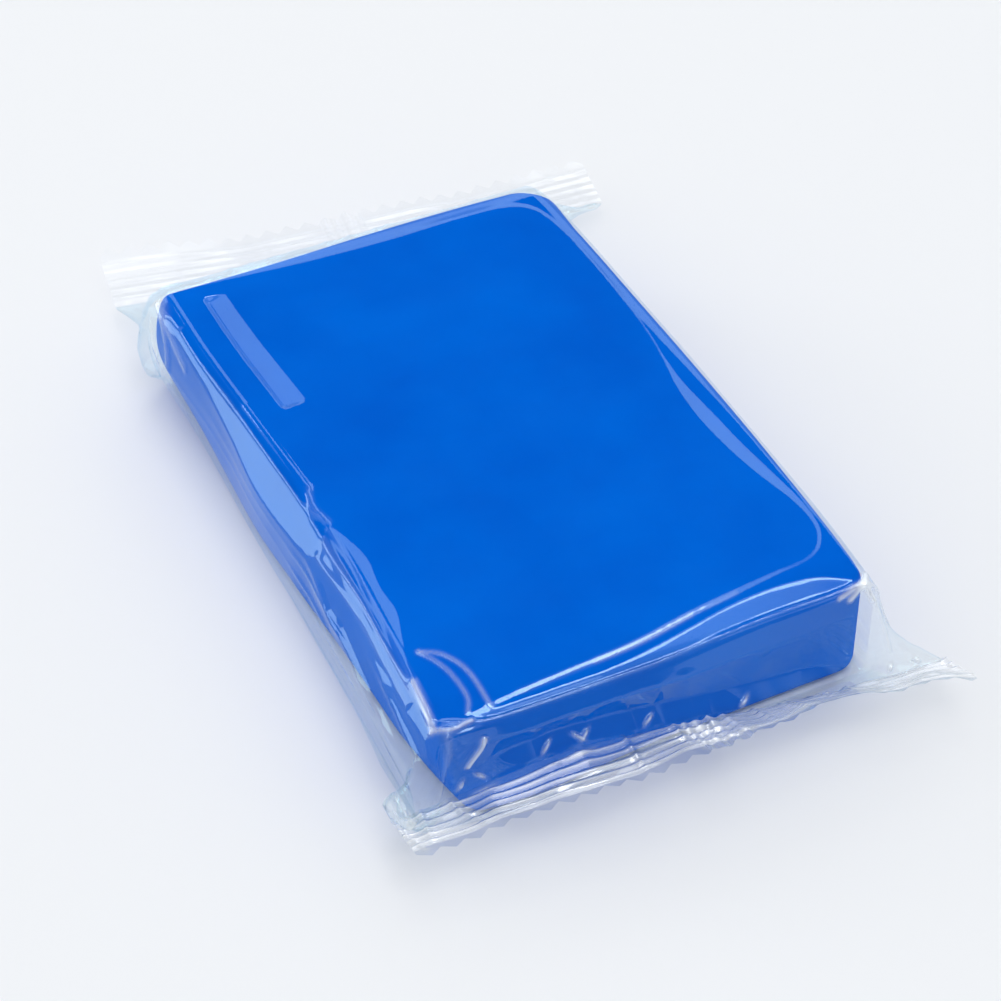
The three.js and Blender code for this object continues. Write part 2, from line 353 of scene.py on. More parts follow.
def film_material(name, straight_on, haze, gloss_roughness, gloss_colour, painted_grazing_shade, crease_haze_and_painted_glints):
    """Clear film: mostly see-through, more mirror-like towards grazing angles, with a little haze.
    Where the mesh's whiteness rises, in creases and pressed ribs, it turns milky: partly the real
    whitening of creased film, partly painted glints and bright highlight lines."""
    material, tree = new_material(name)
    nodes = tree.nodes
    out = nodes.new("ShaderNodeOutputMaterial")
    clear = nodes.new("ShaderNodeBsdfTransparent")
    gloss = nodes.new("ShaderNodeBsdfGlossy")
    gloss.inputs["Roughness"].default_value = gloss_roughness
    # milky white, for haze and whitened creases, and also for painted glints and highlight lines
    milk_and_painted_glint_white = nodes.new("ShaderNodeBsdfDiffuse")
    milk_and_painted_glint_white.inputs["Color"].default_value = COOL_WHITE
    glint = nodes.new("ShaderNodeBsdfGlossy")
    glint.inputs["Color"].default_value = COOL_WHITE
    glint.inputs["Roughness"].default_value = 0.4
    white_and_painted_glint_shader = nodes.new("ShaderNodeMixShader")
    white_and_painted_glint_shader.inputs["Fac"].default_value = 0.5
    # what passes through, and what is mirrored, both change colour from straight on to grazing; the
    # darker colour let through at grazing angles is painted shade
    facing = nodes.new("ShaderNodeLayerWeight")
    facing.inputs["Blend"].default_value = 0.5
    passing_with_painted_shade = nodes.new("ShaderNodeValToRGB")
    passing_with_painted_shade.color_ramp.elements[0].position = 0.35
    passing_with_painted_shade.color_ramp.elements[0].color = (0.985, 0.99, 0.995, 1)
    passing_with_painted_shade.color_ramp.elements[1].position = 0.95
    passing_with_painted_shade.color_ramp.elements[1].color = painted_grazing_shade
    sheen = nodes.new("ShaderNodeValToRGB")
    sheen.color_ramp.elements[0].position = 0.50
    sheen.color_ramp.elements[0].color = gloss_colour
    sheen.color_ramp.elements[1].position = 0.85
    sheen.color_ramp.elements[1].color = (0.87, 0.95, 1.0, 1)
    # how much is mirrored: straight_on facing the film, all of it at grazing angles
    rise = nodes.new("ShaderNodeMath")
    rise.operation = "POWER"
    rise.inputs[1].default_value = 5.0
    reflect = nodes.new("ShaderNodeMapRange")
    reflect.inputs["From Min"].default_value = 0.0
    reflect.inputs["From Max"].default_value = 1.0
    reflect.inputs["To Min"].default_value = straight_on
    reflect.inputs["To Max"].default_value = 1.0
    # how milky it is: a faint uneven haze, and more in creases, where the extra white is partly painted
    # glints and highlight lines
    haze_and_painted_glint_mix = nodes.new("ShaderNodeMixShader")
    where = nodes.new("ShaderNodeTexCoord")
    cloud = nodes.new("ShaderNodeTexNoise")
    cloud.inputs["Scale"].default_value = 180.0
    cloud.inputs["Detail"].default_value = 3.0
    cloudy = nodes.new("ShaderNodeMapRange")
    cloudy.inputs["From Min"].default_value = 0.3
    cloudy.inputs["From Max"].default_value = 0.7
    cloudy.inputs["To Min"].default_value = haze * 0.5
    cloudy.inputs["To Max"].default_value = haze * 1.5
    pressed_white_and_painted_glints = nodes.new("ShaderNodeAttribute")
    pressed_white_and_painted_glints.attribute_name = "white_and_painted_glints"
    milkiness_and_painted_glints = nodes.new("ShaderNodeMath")
    milkiness_and_painted_glints.operation = "MULTIPLY_ADD"
    milkiness_and_painted_glints.inputs[1].default_value = crease_haze_and_painted_glints
    surface = nodes.new("ShaderNodeMixShader")
    link(tree, where, "Object", cloud, "Vector")
    link(tree, cloud, "Fac", cloudy, "Value")
    link(tree, pressed_white_and_painted_glints, "Fac", milkiness_and_painted_glints, 0)
    link(tree, cloudy, "Result", milkiness_and_painted_glints, 2)
    link(tree, milkiness_and_painted_glints, "Value", haze_and_painted_glint_mix, "Fac")
    link(tree, clear, "BSDF", haze_and_painted_glint_mix, 1)
    link(tree, milk_and_painted_glint_white, "BSDF", white_and_painted_glint_shader, 1)
    link(tree, glint, "BSDF", white_and_painted_glint_shader, 2)
    link(tree, white_and_painted_glint_shader, "Shader", haze_and_painted_glint_mix, 2)
    link(tree, facing, "Facing", passing_with_painted_shade, "Fac")
    link(tree, passing_with_painted_shade, "Color", clear, "Color")
    link(tree, facing, "Facing", sheen, "Fac")
    link(tree, sheen, "Color", gloss, "Color")
    link(tree, facing, "Facing", rise, 0)
    link(tree, rise, "Value", reflect, "Value")
    link(tree, reflect, "Result", surface, "Fac")
    link(tree, haze_and_painted_glint_mix, "Shader", surface, 1)
    link(tree, gloss, "BSDF", surface, 2)
    link(tree, surface, "Shader", out, "Surface")
    return material


def floor_material():
    """A pale sheet with a very faint mottle."""
    material, tree = new_material("pale_floor")
    nodes = tree.nodes
    out = nodes.new("ShaderNodeOutputMaterial")
    shader = nodes.new("ShaderNodeBsdfPrincipled")
    shader.inputs["Roughness"].default_value = 0.7
    shader.inputs["Specular IOR Level"].default_value = 0.2
    where = nodes.new("ShaderNodeTexCoord")
    mottle = nodes.new("ShaderNodeTexNoise")
    mottle.inputs["Scale"].default_value = 4.0
    colours = nodes.new("ShaderNodeValToRGB")
    colours.color_ramp.elements[0].color = (0.862, 0.872, 0.892, 1)
    colours.color_ramp.elements[1].color = (0.88, 0.888, 0.905, 1)
    link(tree, where, "Object", mottle, "Vector")
    link(tree, mottle, "Fac", colours, "Fac")
    link(tree, colours, "Color", shader, "Base Color")
    link(tree, shader, "BSDF", out, "Surface")
    return material


CLAY = clay_material()
# each film's grazing colour darkens what shows through it at slanting views: painted shade
FILM = film_material(
    "clear_film",
    straight_on=0.07,
    haze=0.0008,
    gloss_roughness=0.035,
    gloss_colour=(0.64, 0.92, 0.94, 1),
    painted_grazing_shade=(0.88, 0.91, 0.95, 1),
    crease_haze_and_painted_glints=0.8,
)
NEAR_SEAL = film_material(
    "near_sealed_film",
    straight_on=0.10,
    haze=0.05,
    gloss_roughness=0.08,
    gloss_colour=COOL_WHITE,
    painted_grazing_shade=(0.60, 0.65, 0.72, 1),
    crease_haze_and_painted_glints=0.8,
)
FAR_SEAL = film_material(
    "far_sealed_film",
    straight_on=0.04,
    haze=0.03,
    gloss_roughness=0.22,
    gloss_colour=COOL_WHITE,
    painted_grazing_shade=(0.80, 0.83, 0.87, 1),
    crease_haze_and_painted_glints=0.12,
)


# ------------------------------------------------------------------ the clay
def toe(x):
    """How much of the clay's sagging toe there is at each x, along its near lower edge."""
    return np.exp(-(((x - TOE_MIDDLE) / TOE_SPREAD) ** 2))


def clay_mesh():
    """The clay block: a box of small quads with rounded corners and edges, then put out of true."""
    half = np.array([BAR_HALF_WIDTH - 0.15, BAR_END - 0.1, (CLAY_TOP - CLAY_LOW) / 2])
    edge = CLAY_EDGE_RADIUS
    bm = bmesh.new()
    for axis in range(3):
        u_axis, v_axis = [i for i in range(3) if i != axis]
        nu = int(round(2 * half[u_axis] / CLAY_CELL))
        nv = int(round(2 * half[v_axis] / CLAY_CELL))
        for sign in (-1, 1):
            made = []
            for i in range(nu + 1):
                line = []
                for j in range(nv + 1):
                    p = [0.0, 0.0, 0.0]
                    p[axis] = sign * half[axis]
                    p[u_axis] = (2 * i / nu - 1) * half[u_axis]
                    p[v_axis] = (2 * j / nv - 1) * half[v_axis]
                    line.append(bm.verts.new(p))
                made.append(line)
            flip = (sign > 0) == (axis == 1)
            for i in range(nu):
                for j in range(nv):
                    quad = [made[i][j], made[i + 1][j], made[i + 1][j + 1], made[i][j + 1]]
                    bm.faces.new(quad[::-1] if flip else quad)
    bmesh.ops.remove_doubles(bm, verts=bm.verts, dist=1e-5)
    bmesh.ops.recalc_face_normals(bm, faces=bm.faces)
    p = np.array([v.co for v in bm.verts])

    # rounded corners in plan, each with its own radius
    on_right = p[:, 0] > 0
    far_corner = np.where(on_right, CLAY_CORNER_RADII["far_right"], CLAY_CORNER_RADII["far_left"])
    near_corner = np.where(on_right, CLAY_CORNER_RADII["near_right"], CLAY_CORNER_RADII["near_left"])
    corner = np.where(p[:, 1] > 0, far_corner, near_corner)
    cx = (np.abs(p[:, 0]) - (half[0] - corner)) / corner
    cy = (np.abs(p[:, 1]) - (half[1] - corner)) / corner
    both = (cx > 0) & (cy > 0)
    shrink = np.where(both, np.maximum(cx, cy) / np.maximum(np.hypot(cx, cy), 1e-9), 1.0)
    x = np.where(both, np.sign(p[:, 0]) * (half[0] - corner + corner * cx * shrink), p[:, 0])
    y = np.where(both, np.sign(p[:, 1]) * (half[1] - corner + corner * cy * shrink), p[:, 1])

    # rounded edges top and bottom
    qx, qy = np.abs(x) - (half[0] - corner), np.abs(y) - (half[1] - corner)
    outside = np.hypot(np.maximum(qx, 0), np.maximum(qy, 0))
    inward = -(np.minimum(np.maximum(qx, qy), 0) + outside - corner)
    nx = np.where(both, np.maximum(qx, 0) / np.maximum(outside, 1e-9), (qx >= qy) * 1.0) * np.sign(x)
    ny = np.where(both, np.maximum(qy, 0) / np.maximum(outside, 1e-9), (qx < qy) * 1.0) * np.sign(y)
    ce = (edge - inward) / edge
    cz = (np.abs(p[:, 2]) - (half[2] - edge)) / edge
    near = (ce > 0) & (cz > 0)
    shrink = np.where(near, np.maximum(ce, cz) / np.maximum(np.hypot(ce, cz), 1e-9), 1.0)
    pull = np.where(near, edge * ce * (1 - shrink), 0.0)
    x, y = x - nx * pull, y - ny * pull
    z = np.where(near, np.sign(p[:, 2]) * (half[2] - edge + edge * cz * shrink), p[:, 2])

    # out of true: the sides follow the film's edges, and the near left foot is drawn in
    left = curve_through(TOP_LEFT_EDGE, y) + CLAY_GAP_LEFT
    right = curve_through(TOP_RIGHT_EDGE, np.minimum(y, 30)) - CLAY_GAP_RIGHT
    share = (x / half[0] + 1) / 2
    x = left + (right - left) * share
    depth = (half[2] - z) / (2 * half[2])
    leftness = smooth(1 - share * 4)
    x += (curve_through(CLAY_LEFT_FOOT, y) - left) * depth * leftness
    # the ends bow out a little, and the near one sags into a toe
    y += 0.7 * smooth((y - 30) / 9)
    y += 0.5 * np.exp(-(((x - 9) / 14) ** 2)) * smooth((y - 30) / 9)
    y -= 0.45 * depth * np.exp(-(((x - 8) / 16) ** 2)) * smooth((-30 - y) / 9)
    y -= TOE_REACH * toe(x) * smooth((depth - 0.70) / 0.30) * smooth((-30 - y) / 9)
    # the left side bellies out, more so towards the far end
    belly = np.where(share > 0.5, 0.0, -0.2 - 1.25 * smooth((y - 12) / 24))
    x += belly * np.sin(np.pi * np.clip(depth, 0, 1)) * np.abs(2 * share - 1) ** 8
    # the sides, ends and top are not quite flat, and the top edges have slumped at both ends
    wander = [noise.noise(Vector((a / 16, b / 16, c / 12 + 3.1))) for a, b, c in zip(x, y, z)]
    wander = np.array(wander)
    end = np.abs(y / half[1]) ** 20
    side = np.abs(2 * share - 1) ** 20
    x += np.where(share > 0.5, 0.10, -0.25) * wander * side
    y += 0.15 * wander * end * np.sign(y)
    z += 0.12 * wander * (np.abs(z / half[2]) ** 8) * (z > 0)
    z = z + (CLAY_TOP + CLAY_LOW) / 2
    z = np.minimum(z, CLAY_TOP)
    slumped = 0.4 * smooth((-34.5 - y) / 4) + 0.25 * smooth((y - 36) / 3)
    z -= slumped * smooth((z - 9) / 4)
    for v, co in zip(bm.verts, np.stack([x, y, z], 1) * MM):
        v.co = co
    mesh = bpy.data.meshes.new("clay")
    bm.to_mesh(mesh)
    bm.free()
    mesh.polygons.foreach_set("use_smooth", np.ones(len(mesh.polygons), bool))
    mesh.materials.append(CLAY)
    obj = bpy.data.objects.new("clay", mesh)
    scene.collection.objects.link(obj)
    return obj


# ------------------------------------------------------------------ the film over the bar
def corner_arc(corner, before, after, radius, steps):
    """Points rounding a corner of the section, each a (rows, 2) array of x and z."""
    to_before = (before - corner) / np.linalg.norm(before - corner, axis=1, keepdims=True)
    to_after = (after - corner) / np.linalg.norm(after - corner, axis=1, keepdims=True)
    start, stop = corner + to_before * radius, corner + to_after * radius
    turns = np.linspace(0, 1, steps)
    return [(1 - t) ** 2 * start + 2 * t * (1 - t) * corner + t * t * stop for t in turns]


def straight(a, b, steps):
    """Points strictly between a and b."""
    return [a + (b - a) * t for t in np.linspace(0, 1, steps + 2)[1:-1]]


# how finely the wrap's grid is divided, round the pack and along it
COLUMNS = {"under_left": 16, "left": 40, "top": 216, "right": 34, "under_right": 10, "corner": 7}
ROWS = {"near_end": 64, "near_edge": 38, "middle": 168, "far_edge": 34, "far_end": 58}


def wrap_sections(y):
    """Sections of the wrap over the bar at each y: (rows, columns, 3), going round from the back
    seam to the left, up, over the top and down the right side."""
    rows = len(y)
    seam = np.stack([np.full(rows, (SEAM_LEFT + SEAM_RIGHT) / 2), np.full(rows, FILM_LOW)], 1)
    foot_left = np.stack([curve_through(LEFT_FOOT, y), np.full(rows, FILM_LOW)], 1)
    top_left = np.stack([curve_through(TOP_LEFT_EDGE, y), np.full(rows, FILM_TOP)], 1)
    top_right = np.stack([curve_through(TOP_RIGHT_EDGE, y), np.full(rows, FILM_TOP)], 1)
    foot_right = np.stack([curve_through(RIGHT_FOOT, y), np.full(rows, FILM_LOW)], 1)
    n = COLUMNS["corner"]
    arc_a = corner_arc(foot_left, seam, top_left, FOOT_RADIUS, n)
    arc_b = corner_arc(top_left, foot_left, top_right, TOP_LEFT_RADIUS, n)
    arc_c = corner_arc(top_right, top_left, foot_right, TOP_RIGHT_RADIUS, n)
    arc_d = corner_arc(foot_right, top_right, seam, FOOT_RADIUS, n)
    parts = [
        [seam] + straight(seam, arc_a[0], COLUMNS["under_left"]),
        arc_a,
        straight(arc_a[-1], arc_b[0], COLUMNS["left"]),
        arc_b,
        straight(arc_b[-1], arc_c[0], COLUMNS["top"]),
        arc_c,
        straight(arc_c[-1], arc_d[0], COLUMNS["right"]),
        arc_d,
        straight(arc_d[-1], seam, COLUMNS["under_right"]),
    ]
    ring = np.stack([p for part in parts for p in part], 1)
    points = np.empty(ring.shape[:2] + (3,))
    points[..., 0] = ring[..., 0]
    points[..., 1] = y[:, None]
    points[..., 2] = ring[..., 1]
    counts = np.cumsum([0] + [len(part) for part in parts])
    return points, counts


def seal_root(x, end):
    """Where a seal starts, as y and z, at each x."""
    if end == "near":
        y = curve_through(NEAR_ROOT, x)
        z = curve_through(NEAR_ROOT_HEIGHT, x)
    else:
        y = FAR_ROOT + math.tan(math.radians(SEAL_TURN["far"])) * (x - SEAL_MIDDLE["far"])
        z = curve_through(FAR_ROOT_HEIGHT, x)
    return y, z


def seal_ring(ring, counts, end):
    """The last row of the wrap, pressed flat along the seal's root."""
    middle = SEAL_MIDDLE[end]
    mid_left = (counts[2] + counts[3]) // 2
    mid_right = (counts[6] + counts[7]) // 2
    step = np.linalg.norm(np.roll(ring, -1, 0) - ring, axis=1)
    columns = len(ring)
    x = np.empty(columns)
    over = np.arange(mid_left, mid_right + 1)
    run = np.concatenate([[0], np.cumsum(step[over[:-1]])])
    x[over] = middle - GIRTH_HALF / 2 + GIRTH_HALF * run / run[-1]
    under = np.concatenate([np.arange(mid_right, columns), np.arange(0, mid_left + 1)])
    run = np.concatenate([[0], np.cumsum(step[under[:-1]])])
    x[under] = middle + GIRTH_HALF / 2 - GIRTH_HALF * run / run[-1]
    y, z = seal_root(x, end)
    lift = np.full(columns, -0.03)
    lift[over] = 0.03
    return np.stack([x, y, z + lift], 1)


def end_rows(ring, counts, end, rows):
    """Rows from the bar's end to the seal. Each column turns down over the bar's end at a knee.
    At the near end it bellies out below the knee, tucks in to a heel, and then runs out to the seal."""
    flat = seal_ring(ring, counts, end)
    near = end == "near"
    side = -1 if near else 1
    x, z = ring[:, 0], ring[:, 2]
    high = smooth(z / FILM_TOP)
    # the film spreads sideways at the bar's lower corners, and reaches out past its end
    spread = np.where(x < 0, -1.1, 0.7) * smooth(np.abs(x) / 25 * 4 - 3) * (1 - high * 0.8)
    if near:
        reach = 0.35 + 0.9 * (1 - smooth((x + 2) / 16)) * high
        reach += (TOE_REACH + 0.2) * toe(x) * (1 - smooth(z / 4))
        drop = 0.5 * high
        front = smooth((z - 10) / 3) * (1 - smooth((np.abs(x) - 17) / 9))
        heel_height = flat[:, 2] + 2.2
    else:
        reach = 0.6 + 1.1 * high
        drop = 0.95 * high
        front = np.zeros(len(x))
        heel_height = np.full(len(x), 7.0)
    knee = ring + np.stack([spread, side * reach, -drop], 1)
    fall = np.maximum(knee[:, 2] - flat[:, 2], 0.1)
    heel = knee + (flat - knee) * np.clip((knee[:, 2] - heel_height) / fall, 0.3, 1)[:, None]
    heel[:, 1] += (side * (BAR_END + 0.45) - heel[:, 1]) * front
    belly = knee + (heel - knee) * 0.3
    belly[:, 1] += (knee[:, 1] - 0.95 - belly[:, 1]) * front
    stations = [ring, knee, belly, heel, flat]
    lengths = [np.linalg.norm(b - a, axis=1).mean() for a, b in zip(stations, stations[1:])]
    ends = np.concatenate([[0], np.cumsum(lengths)])
    made = []
    for place in np.linspace(0, ends[-1], rows + 1)[1:]:
        leg = min(np.searchsorted(ends, place, side="right") - 1, len(lengths) - 1)
        part = (place - ends[leg]) / lengths[leg]
        made.append(stations[leg] + (stations[leg + 1] - stations[leg]) * part)
    return np.array(made)


def soften_rows(points, rounds):
    """Rounds off the folds that run across the rows, and leaves the first and last row alone."""
    for _ in range(rounds):
        points[1:-1] += 0.5 * ((points[:-2] + points[2:]) / 2 - points[1:-1])
    return points


def film_coordinates(points, counts):
    """Flat coordinates of the film: across from the top left edge, and along from the middle."""
    columns = points.shape[1]
    corner = (counts[3] + counts[4]) // 2
    step = np.linalg.norm(np.diff(points, axis=1), axis=2)
    run = np.concatenate([np.zeros((len(points), 1)), np.cumsum(step, 1)], 1)
    middle_row = len(points) // 2
    across = run - run[:, corner : corner + 1]
    steps_along = np.linalg.norm(np.diff(points, axis=0), axis=2)
    along = np.concatenate([np.zeros((1, columns)), np.cumsum(steps_along, 0)], 0)
    along = along - along[middle_row] + points[middle_row, :, 1]
    return across, along


def tilted_strip(a, b, left, right, slope):
    """A strip of film that slopes down to its left edge: negative heights between two borders,
    each given as (along, across)."""
    low, high = max(left[0][0], right[0][0]), min(left[-1][0], right[-1][0])
    border_left = curve_through(left, b)
    border_right = curve_through(right, b)
    inside = smooth((a - border_left) / 0.25 + 1) * (a < border_right)
    ends = smooth((b - low) / 0.5 + 1) * smooth((high - b) / 0.5 + 1)
    return -slope * np.maximum(border_right - np.maximum(a, border_left), 0) * inside * ends


def tent(a, ridge):
    """A fold down the left side: 0 at the top edge, 1 along its ridge and 0 again at the foot."""
    below = np.maximum(-a, 0)
    return np.minimum(below / ridge, np.clip((LEFT_HEIGHT - below) / (LEFT_HEIGHT - ridge), 0, 1))


# creases of the film: (points as (across, along), half width, height, whitening); the whitening is
# partly real crease whitening and partly painted glints and highlight lines
CREASES = [
    # the top left edge, far half
    ([(-0.3, 32), (-0.9, 20), (-0.6, 8), (-0.2, -4)], 0.30, 0.08, 0.0),
    ([(0.8, 16), (0.9, 8), (1.2, 0)], 0.30, 0.10, 0.0),
    # swirl at the far left corner
    (
        [
            (-0.4, 38.5), (-1.6, 35.5), (-3.6, 33.0), (-5.8, 32.6),
            (-6.6, 34.6), (-5.4, 37.0), (-3.4, 38.6),
        ],
        0.50, 0.30, 0.22,
    ),
    ([(-0.6, 38.0), (-1.6, 33.0), (-2.6, 28.0)], 0.45, 0.20, 0.20),
    # crinkles where the side film starts to stand off
    ([(1.2, 0), (0.2, -3), (0.9, -6)], 0.30, 0.12, 0.08),
    # three long lines down the near half of the left edge
    ([(0.4, -7), (0.6, -16), (0.5, -26), (0.2, -38)], 0.26, 0.16, 0.05),
    ([(-0.5, -8), (-0.4, -20), (-0.3, -30), (0.0, -38)], 0.24, 0.18, 0.10),
    ([(-1.5, -9), (-1.4, -20), (-1.0, -34)], 0.28, 0.18, 0.05),
    # two arcs at the near left corner, whitened as painted highlight lines
    (
        [(2.4, -28.4), (3.5, -30.2), (4.3, -32.3), (4.7, -35.0), (4.6, -36.9), (3.9, -38.4)],
        0.24, 0.045, 0.20,
    ),
    (
        [(2.4, -28.4), (4.2, -29.4), (5.4, -31.0), (6.1, -32.8), (6.4, -35.2), (6.4, -38.8)],
        0.24, 0.045, 0.24,
    ),
    # where the top film leaves its level middle, by the near edge: no ridge, only painted highlight
    # lines
    ([(10, -38.1), (15.8, -37.7), (23.6, -37.1), (31.3, -35.7), (37, -34.9)], 0.30, 0.0, 0.10),
    ([(19, -37.5), (25, -37.0), (31, -35.8)], 0.30, 0.0, 0.16),
    # along the near top edge, with a painted highlight line under the corner
    ([(1.0, -38.6), (5.0, -40.0), (12, -40.3), (25, -40.2), (38, -39.2), (49, -39.3)], 0.28, 0.20, 0.06),
    ([(-0.4, -39.0), (1.4, -39.8), (3.8, -39.6)], 0.26, 0.20, 0.50),
    # gathered film at the near left corner, whitened into painted glints
    ([(0.4, -32.0), (0.2, -35.5), (-0.2, -38.8)], 0.28, 0.20, 0.60),
    ([(4.6, -42.0), (3.9, -43.6), (2.3, -45.6)], 0.28, 0.45, 0.80),
    ([(1.0, -40.0), (0.4, -43.0), (-1.6, -46.0)], 0.40, 0.35, 0.12),
    ([(-5.5, -44.5), (-7.0, -47.0)], 0.55, 0.45, 0.85),
    ([(-9.0, -48.0), (-10.2, -49.6)], 0.50, 0.40, 0.75),
    # knot at the near right corner, whitened into a painted glint star
    ([(48.8, -40.6), (50.4, -39.5), (51.4, -38.2)], 0.36, 0.20, 0.85),
    ([(47.6, -39.9), (50.4, -39.5), (51.4, -41.6)], 0.32, 0.20, 0.75),
    ([(50.4, -39.5), (52.6, -40.4), (53.8, -42.6)], 0.34, 0.20, 0.60),
    ([(51.0, -41.0), (52.2, -44.0), (52.8, -47.5)], 0.36, 0.30, 0.25),
]

# short folds that run back from the near seal, 1.2 mm from its root: (x, lean, height)
PUCKER_START = 1.2
PUCKER_HALF_WIDTH = 0.28
PUCKER_HALF_LENGTH = 0.5
# each pucker's whitening paints a glint at its foot
PUCKER_PAINTED_GLINT = 0.7
PUCKERS = [
    (-29.0, -0.2, 0.6), (-24.0, 0.5, 0.5), (-20.0, -0.9, 0.4), (-14.5, 0.9, 0.5), (-10.0, 0.8, 0.5),
    (-8.6, -0.9, 0.5), (-2.5, 0.9, 0.5), (9.0, 0.9, 0.3), (27.0, 0.3, 0.6), (31.0, -0.3, 0.6),
]


def left_side_heights(a, b):
    """Loose film down the left side: it bulges towards the far end, stands off the clay in a long
    fold whose ridge moves down towards the near end, and is creased along its length."""
    bulge = (0.2 + 1.5 * smooth((b - 12) / 24)) * smooth((47 - b) / 6)
    height = bulge * np.sin(np.pi * np.clip(-a / LEFT_HEIGHT, 0, 1))
    stand_off = curve_through(LEFT_STAND_OFF, b)
    height += stand_off * tent(a, 0.1 + 1.5 * stand_off) * smooth((b + 13) / 9) * smooth((44 - b) / 4)
    near_ridge = 5.2 - 2.2 * smooth((b + 20) / 13)
    near_stand_off = 1.9 + 0.4 * rough(a, b, 5, 8, 13)
    height += near_stand_off * tent(a, near_ridge) * smooth((-4 - b) / 9) * smooth((b + 52) / 8)
    left = smooth(-a / 2.0) * smooth((a + 17) / 4)
    near = smooth((-b) / 12) * smooth((b + 52) / 8)
    far = smooth((b + 4) / 6) * smooth((44 - b) / 4)
    near_folds = 0.35 * rough(a, b, 6, 9, 2) + 0.35 * creased(a, b, 2.6, 30, 3)
    far_folds = 0.06 * rough(a, b, 4, 30, 4) + 0.06 * creased(a, b, 2.6, 45, 5)
    height += left * near * near_folds
    height += left * far * far_folds * smooth((-a - 3) / 2)
    return height


def right_side_heights(a, b):
    """Snug film down the right side, a little uneven."""
    right = smooth((a - 52) / 2.0) * smooth((66 - a) / 4)
    return right * (0.08 + 0.08 * rough(a, b, 4, 20, 6) + 0.08 * creased(a, b, 4, 30, 7))


def end_heights(a, b):
    """Folds past the bar's ends, which run from the bar to each seal."""
    near_end = smooth((-41.5 - b) / 3)
    height = near_end * (0.15 * rough(a, b, 3.0, 7, 8) + 0.15 * creased(a, b, 5.0, 11, 9))
    far_end = smooth((b - 40) / 3) * smooth((56 - b) / 3)
    height += far_end * (0.20 * rough(a, b, 3.0, 9, 10) + 0.35 * creased(a, b, 4.0, 10, 11))
    return height


def film_heights(a, b, points):
    """How far the film stands off its plain shape, along its normal, and how white its creases are,
    which is partly painted glints and highlight lines.
    """
    over = (points[..., 2] > FILM_TOP - 0.6) & (np.abs(b) < 41)
    height = 0.035 * rough(a, b, 16, 22, 1) * over
    for left, right, slope in TILTED_STRIPS:
        height += tilted_strip(a, b, left, right, slope)
    white_and_painted_glints = np.zeros_like(a)
    for line, width, size, whitening_and_painted_glint in CREASES:
        ridge = np.exp(-((distance_to_line(a, b, rounded_line(line)) / width) ** 2))
        height += size * ridge
        white_and_painted_glints += whitening_and_painted_glint * ridge
    height += left_side_heights(a, b) + right_side_heights(a, b) + end_heights(a, b)
    from_seal = b - b[0]
    for place, lean, size in PUCKERS:
        ridge = np.exp(-(((points[..., 0] - place - lean * from_seal) / PUCKER_HALF_WIDTH) ** 2))
        ridge *= np.exp(-(((from_seal - PUCKER_START) / PUCKER_HALF_LENGTH) ** 2))
        ridge *= (b < -38) * (points[..., 2] > 2)
        height += size * ridge
        white_and_painted_glints += PUCKER_PAINTED_GLINT * ridge
    return height, np.clip(white_and_painted_glints, 0, 1)


def press_top(bar_rows):
    """Lowers the top film where it slopes down towards the bar's edges."""
    x, y, z = bar_rows[..., 0], bar_rows[..., 1], bar_rows[..., 2]
    on_top = smooth((z - 12) / 2)

    # The middle of the top film is level. Beyond its edge the film slopes down for a little way.
    beyond, width = beyond_line(x, y, rounded_line(LEVEL_EDGE))
    fall = LEVEL_SLOPE * np.clip(beyond, 0, width)

    # It slopes down again over the near edge, more steeply towards its right end.
    upper = curve_through(LENS_TOP, x)
    inside = smooth((x - LENS_LEFT) / 1.5) * smooth((LENS_RIGHT - x) / 1.0)
    fall += LENS_SLOPE * np.maximum(upper - y, 0) * inside

    # A narrow bevel runs along the right edge and along the far edge.
    right_bevel = curve_through(RIGHT_BEVEL, y)
    fall += RIGHT_BEVEL_SLOPE * np.maximum(x - (curve_through(TOP_RIGHT_EDGE, y) - right_bevel), 0)
    far_bevel = curve_through(FAR_BEVEL, x)
    fall += FAR_BEVEL_SLOPE * np.maximum(y - (BAR_END - far_bevel), 0)
    bar_rows[..., 2] -= fall * on_top


def build_wrap():
    """The whole wrap as a grid of points, how white it is (partly painted glints), and the first and
    last row over the bar.
    """
    near_rows = np.linspace(-BAR_END, -30, ROWS["near_edge"])[:-1]
    middle_rows = np.linspace(-30, 30, ROWS["middle"])[:-1]
    far_rows = np.linspace(30, BAR_END, ROWS["far_edge"])
    bar_rows, counts = wrap_sections(np.concatenate([near_rows, middle_rows, far_rows]))
    press_top(bar_rows)

    near = end_rows(bar_rows[0], counts, "near", ROWS["near_end"])[::-1]
    far = end_rows(bar_rows[-1], counts, "far", ROWS["far_end"])
    points = np.concatenate([near, bar_rows, far], 0)
    first_bar, last_bar = len(near), len(near) + len(bar_rows) - 1
    points = soften_rows(points, 2)

    across, along = film_coordinates(points, counts)
    height, white_and_painted_glints = film_heights(across, along, points)
    # nothing stands off at the seals' roots or underneath
    edge_rows = np.minimum(np.arange(len(points)), np.arange(len(points))[::-1])
    height *= smooth(edge_rows / 3)[:, None]
    height[:, : counts[2]] = 0
    height[:, counts[8] :] = 0
    points = points + grid_normals(points, True) * height[..., None]
    points[..., 2] = np.clip(points[..., 2], FLOOR_GAP, FILM_LIMIT)
    return points, white_and_painted_glints, first_bar, last_bar


